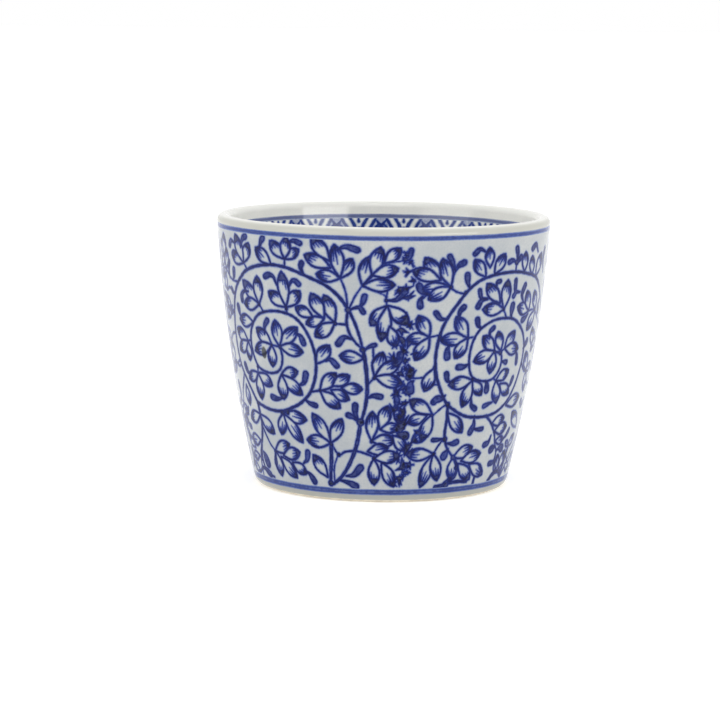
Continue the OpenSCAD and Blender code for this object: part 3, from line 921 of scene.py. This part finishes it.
def from_axis(tree):
    """Distance from the cup's axis, mm."""
    where = tree.nodes.new("ShaderNodeNewGeometry")
    flat = tree.nodes.new("ShaderNodeVectorMath")
    flat.operation = "MULTIPLY"
    feed(tree, flat.inputs[0], where.outputs["Position"])
    flat.inputs[1].default_value = (1 / MM, 1 / MM, 0)
    size = tree.nodes.new("ShaderNodeVectorMath")
    size.operation = "LENGTH"
    feed(tree, size.inputs[0], flat.outputs["Vector"])
    return size.outputs["Value"]


def stored(tree, name):
    """A number kept on the mesh's points."""
    node = tree.nodes.new("ShaderNodeAttribute")
    node.attribute_name = name
    return node.outputs["Fac"]


def bumped(tree, shader, relief, depth_mm):
    """Relief for the shader's normal."""
    node = tree.nodes.new("ShaderNodeBump")
    node.inputs["Distance"].default_value = depth_mm * MM
    feed(tree, node.inputs["Height"], relief)
    feed(tree, shader.inputs["Normal"], node.outputs["Normal"])


def glazed_ground(tree, tones, grain):
    """Colour of the clay seen through the glaze: mottled between two tones, and finely grained."""
    mottle = between(tree, noise(tree, 9.0, 3.0), 0.3, 0.7)
    ground = blend(tree, mottle, *tones)
    fine = between(tree, noise(tree, 0.4, 2.0, 4.0), 0.35, 0.65)
    return blend(tree, maths(tree, "MULTIPLY", fine, GRAIN_SHARE), ground, grain)


def shaded_outside_ground(tree):
    """The cool ground round the outside, painted darker than the same glaze inside as painted shade, which
    turns to cream at the lip face and at the foot, where it is also painted shade.
    """
    level = maths(tree, "ADD", height(tree), maths(tree, "MULTIPLY", noise(tree, 4.0, 2.0, 9.0), 0.6))
    # painted shade: above the rim line the outside turns to the lip face's cream, darkened as shade
    shaded_lip_share = between(tree, level, RIM_LINE[1] + 0.1, RIM_LINE[1] + 1.1)
    body = blend(tree, shaded_lip_share, glazed_ground(tree, SHADED_COOL_TONES, SHADED_COOL_GRAIN), SHADED_LIP_CREAM)
    # painted shade: below the foot line it turns to the foot's darkened cream
    return blend(tree, between(tree, level, FOOT_LINE[0] + 0.6, FOOT_LINE[0] - 0.4), body, SHADED_FOOT_CREAM)


def lit_inside_ground(tree):
    """The creamy ground inside the cup, painted lighter than the same glaze outside as painted light."""
    return glazed_ground(tree, LIT_CREAM_TONES, LIT_CREAM_GRAIN)


def glaze_gloss(tree, shader):
    """The glaze's shine, and the faint unevenness of its surface."""
    shader.inputs["Specular IOR Level"].default_value = 0.15
    rough = maths(tree, "MULTIPLY_ADD", noise(tree, 3.0, 3.0, 2.0), 0.06, 0.04)
    feed(tree, shader.inputs["Roughness"], rough)
    ripple = maths(tree, "MULTIPLY_ADD", noise(tree, 2.6, 1.0, 7.0), 1.0, noise(tree, 11.0, 1.0, 3.0))
    bumped(tree, shader, ripple, RIPPLE_MM)


def glaze_material():
    """Clear glaze over white clay, with painted shade on the lip, lighter on its crown than on its face,
    and painted shade on the foot.
    """
    material, tree, shader = new_material("clear_glaze")
    level = height(tree)
    # painted shade: below the foot line the glaze takes the foot's darkened cream
    above_foot = between(tree, level, FOOT_LINE[0] - 0.2, FLOOR_Z - 1)
    body = blend(tree, above_foot, SHADED_FOOT_CREAM, lit_inside_ground(tree))
    out = from_axis(tree)
    lip_in = RIM_R - LIP_T
    # painted shade on the rounded lip: its crown a little darker than the glaze inside, its face darker
    # still
    high = between(tree, level, LIP_Z, CUP_H)
    crown = maths(tree, "MULTIPLY", high, between(tree, out, lip_in - 0.4, lip_in + 0.4))
    near_lip = between(tree, level, BORDER_LINE[0], LIP_Z)
    face = maths(tree, "MULTIPLY", near_lip, between(tree, out, RIM_R - 1.1, RIM_R - 0.2))
    lip = blend(tree, face, blend(tree, crown, body, SHADED_CROWN_CREAM), SHADED_LIP_CREAM)
    feed(tree, shader.inputs["Base Color"], lip)
    glaze_gloss(tree, shader)
    return material


def cobalt_material(name, ground, pigments, bleed, strength):
    """Cobalt under the glaze: pigment by distance into the stroke, feathered, grained and pooled.

    The pigments are the feathered edge's, the stroke's and the darkest pools', and bleed is in mm.
    """
    material, tree, shader = new_material(name)
    faint, full, darkest = pigments
    clear = ground(tree)
    ragged = maths(tree, "MULTIPLY_ADD", noise(tree, 0.45, 3.0, 1.0), 0.28, -0.14)
    depth = maths(tree, "ADD", stored(tree, "ink"), ragged)
    load = stored(tree, "load")
    # broad patches and small pools of more or less pigment
    patch = between(tree, noise(tree, 5.0, 2.0, 6.0), 0.38, 0.62)
    pool = between(tree, noise(tree, 0.9, 3.0, 5.0), 0.38, 0.64)
    # how far into the stroke: its feathered edge, its body and its middle
    cover = between(tree, depth, -bleed, 0.12)
    core = between(tree, depth, -0.04, 0.24)
    inner = between(tree, depth, 0.2, 0.5)
    # paler where there is little pigment, and darker where it has pooled
    spare = maths(tree, "MULTIPLY", inner, maths(tree, "SUBTRACT", 1.0, load))
    thin = maths(tree, "MULTIPLY", pool, patch)
    lift = maths(tree, "MULTIPLY_ADD", thin, 0.35, maths(tree, "MULTIPLY", spare, 1.5))
    loaded = maths(tree, "MULTIPLY", inner, load)
    sunk = maths(tree, "MULTIPLY", loaded, maths(tree, "SUBTRACT", 1.0, pool))
    pigment = blend(tree, core, faint, full)
    pigment = blend(tree, sunk, pigment, darkest)
    pigment = blend(tree, lift, pigment, faint)
    # the stain round a stroke, then the stroke, then the iron
    haze = between(tree, depth, -REACH - 0.05, -0.05)
    stained = blend(tree, maths(tree, "MULTIPLY", haze, HAZE_SHARE), clear, COBALT_HAZE)
    broad = maths(tree, "MULTIPLY", between(tree, depth, 0.26, 0.5), pool)
    worn = maths(tree, "MULTIPLY", broad, WORN_SHARE)
    solid = maths(tree, "MULTIPLY", cover, maths(tree, "SUBTRACT", strength, worn))
    paint = blend(tree, solid, stained, pigment)
    speck = between(tree, maths(tree, "ADD", stored(tree, "iron"), ragged), -0.05, 0.25)
    fired = blend(tree, maths(tree, "MULTIPLY", speck, IRON_SHARE), paint, IRON_BLACK)
    feed(tree, shader.inputs["Base Color"], fired)
    glaze_gloss(tree, shader)
    return material


def bisque_material():
    """Bare fired clay: matt, warm and finely pitted."""
    material, tree, shader = new_material("bare_clay")
    tone = blend(tree, between(tree, noise(tree, 1.5, 4.0), 0.3, 0.7), CLAY_DARK, CLAY_LIGHT)
    feed(tree, shader.inputs["Base Color"], tone)
    shader.inputs["Specular IOR Level"].default_value = 0.25
    feed(tree, shader.inputs["Roughness"], maths(tree, "MULTIPLY_ADD", noise(tree, 0.8, 3.0), 0.2, 0.65))
    bumped(tree, shader, noise(tree, 0.25, 4.0), 0.03)
    return material


def floor_material():
    """The plain pale table."""
    material, tree, shader = new_material("pale_table")
    tone = blend(tree, between(tree, noise(tree, 60.0, 2.0), 0.3, 0.7), *TABLE_TONES)
    feed(tree, shader.inputs["Base Color"], tone)
    shader.inputs["Roughness"].default_value = 0.7
    shader.inputs["Specular IOR Level"].default_value = 0.1
    shader.inputs["Emission Color"].default_value = (1, 1, 1, 1)
    shader.inputs["Emission Strength"].default_value = TABLE_GLOW
    return material


# painted light and shade: the same glaze has darker cool tones outside and lighter cream tones inside
SHADED_COOL_TONES = colour(171, 175, 177), colour(186, 188, 187)
LIT_CREAM_TONES = colour(230, 230, 225), colour(239, 238, 232)
SHADED_COOL_GRAIN = colour(154, 161, 170)
LIT_CREAM_GRAIN = colour(222, 224, 220)
# cream of the lip face and of the lip's crown, darkened as painted shade
SHADED_LIP_CREAM = colour(187, 187, 179)
SHADED_CROWN_CREAM = colour(221, 221, 216)
# cream of the foot band, darkened as painted shade
SHADED_FOOT_CREAM = colour(168, 168, 162)
PRINT_COBALT = colour(18, 46, 136), colour(2, 9, 72), colour(1, 2, 38)
LINE_COBALT = colour(48, 78, 156), colour(16, 40, 118), colour(6, 18, 88)
COBALT_HAZE = colour(140, 158, 184)
GRAIN_SHARE = 0.36  # how much of the grain's colour shows
HAZE_SHARE = 0.42  # how much of the haze round a stroke shows
WORN_SHARE = 0.09  # most ground that shows through patches of a broad stroke
IRON_SHARE = 0.85  # how much of the iron's black shows
IRON_BLACK = colour(24, 28, 26)
CLAY_LIGHT = colour(226, 218, 200)
CLAY_DARK = colour(205, 196, 178)
TABLE_TONES = (0.9, 0.9, 0.9, 1), (0.92, 0.92, 0.92, 1)
RIPPLE_MM = 0.02  # height of the glaze's ripple


# ---- Camera, light and table ----

CAMERA_AT = (0, -0.680, 0.12106)
CAMERA_PITCH = -7.671  # degrees from level
CAMERA_YAW = 0.450
CAMERA_ROLL = 0.606
CAMERA_LENS = 141.85  # mm
CAMERA_SENSOR = 36  # mm
WORLD_BRIGHT = 1.0  # strength of the surroundings above and behind
WORLD_FRONT = 0.08  # and low in front
CUP_MIDDLE = Vector((0, 0, 0.05))  # where the lamps point
TABLE_GLOW = 0.34  # light of its own that keeps the table white
TABLE_HALF = 6.0  # half the table's width, m

# Each lamp's name, place, size and power, and whether it lights surfaces or only shines in the glaze
LAMPS = (
    ("top_softbox", (0, -0.32, 0.75), (0.4, 0.4), 1.7, True),
    ("right_softbox", (0.85, -0.50, 0.27), (0.6, 0.3), 1.35, True),
    ("left_softbox", (-0.85, -0.50, 0.27), (0.6, 0.3), 1.35, True),
    ("right_window", (0.70, -0.65, 0.22), (0.66, 0.38), 9.5, False),
    ("left_window", (-0.70, -0.60, 0.22), (0.7, 0.38), 3.5, False),
)


def add_camera():
    """The camera, where the photograph was taken from."""
    data = bpy.data.cameras.new("photo_camera")
    data.lens = CAMERA_LENS
    data.sensor_width = CAMERA_SENSOR
    data.clip_start = 0.01
    camera = bpy.data.objects.new("photo_camera", data)
    yaw = Matrix.Rotation(math.radians(CAMERA_YAW), 4, "Z")
    pitch = Matrix.Rotation(math.radians(90 + CAMERA_PITCH), 4, "X")
    roll = Matrix.Rotation(math.radians(CAMERA_ROLL), 4, "Z")
    camera.matrix_world = Matrix.Translation(CAMERA_AT) @ yaw @ pitch @ roll
    bpy.context.scene.collection.objects.link(camera)
    bpy.context.scene.camera = camera


def add_softbox(name, place, size, power, lights_surfaces):
    """A rectangular soft light that faces the cup, or only its reflection in the glaze."""
    data = bpy.data.lights.new(name, "AREA")
    data.shape = "RECTANGLE"
    data.size, data.size_y = size
    data.energy = power
    lamp = bpy.data.objects.new(name, data)
    lamp.location = place
    lamp.visible_camera = False
    lamp.visible_diffuse = lights_surfaces
    lamp.rotation_euler = (CUP_MIDDLE - Vector(place)).to_track_quat("-Z", "Y").to_euler()
    bpy.context.scene.collection.objects.link(lamp)


def add_world():
    """White surroundings, bright above and behind the cup and dim low in front of it."""
    world = bpy.data.worlds.new("studio")
    world.use_nodes = True
    tree = world.node_tree
    place = tree.nodes.new("ShaderNodeTexCoord")
    split = tree.nodes.new("ShaderNodeSeparateXYZ")
    feed(tree, split.inputs[0], place.outputs["Generated"])
    away = maths(tree, "MULTIPLY_ADD", split.outputs["Z"], 1.6, split.outputs["Y"])
    rise = between(tree, away, -0.4, 0.5)
    strength = maths(tree, "MULTIPLY_ADD", rise, WORLD_BRIGHT - WORLD_FRONT, WORLD_FRONT)
    feed(tree, tree.nodes["Background"].inputs["Color"], (1, 1, 1, 1))
    feed(tree, tree.nodes["Background"].inputs["Strength"], strength)
    bpy.context.scene.world = world


def add_table():
    """A wide flat floor that meets the white surroundings far behind the cup."""
    corners = [(x * TABLE_HALF, y * TABLE_HALF, 0) for x, y in ((-1, -1), (1, -1), (1, 1), (-1, 1))]
    mesh = bpy.data.meshes.new("table")
    mesh.from_pydata(corners, [], [(0, 1, 2, 3)])
    table = bpy.data.objects.new("table", mesh)
    bpy.context.scene.collection.objects.link(table)
    mesh.materials.append(floor_material())


# ---- Putting it together ----


def finish_piece(piece, material):
    """Gives a piece its material and the body it rides on."""
    piece.data.materials.append(material)
    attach(piece, "root")


GLAZE = glaze_material()
PRINT = cobalt_material("cobalt_print", shaded_outside_ground, PRINT_COBALT, 0.36, 0.995)
LINE = cobalt_material("cobalt_line", shaded_outside_ground, LINE_COBALT, 0.42, 0.92)
MOUTH = cobalt_material("cobalt_mouth_line", lit_inside_ground, LINE_COBALT, 0.42, 0.8)
INNER = cobalt_material("cobalt_inside", lit_inside_ground, LINE_COBALT, 0.3, 0.985)

# Each line's piece, its node, its side of the wall, its lower and upper edge, and its material
LINES = (
    ("rim_line", "outer_rim_line", 1, RIM_LINE, LINE),
    ("foot_line", "outer_foot_line", 1, FOOT_LINE, LINE),
    ("mouth_line", "inner_rim_line", -1, INNER_LINE, MOUTH),
    ("border_line", "inner_border_line", -1, BORDER_LINE, INNER),
)

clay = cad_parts["porcelain_body"]
clay.data.materials.clear()
clay.data.materials.append(bisque_material())

finish_piece(glazed_surface(), GLAZE)
finish_piece(well_glaze(), GLAZE)
for number, (name, node, side, edges, material) in enumerate(LINES):
    finish_piece(line_ring(name, node, side, edges, number + 1.0), material)
for number, node in enumerate(SHEETS):
    finish_piece(outer_sheet(number, node), PRINT)
for number, node in enumerate(STRIPS):
    finish_piece(inner_strip(number, node), INNER)

add_camera()
add_world()
add_table()
for lamp in LAMPS:
    add_softbox(*lamp)
bpy.context.scene.view_settings.view_transform = "Standard"

bpy.context.view_layer.update()
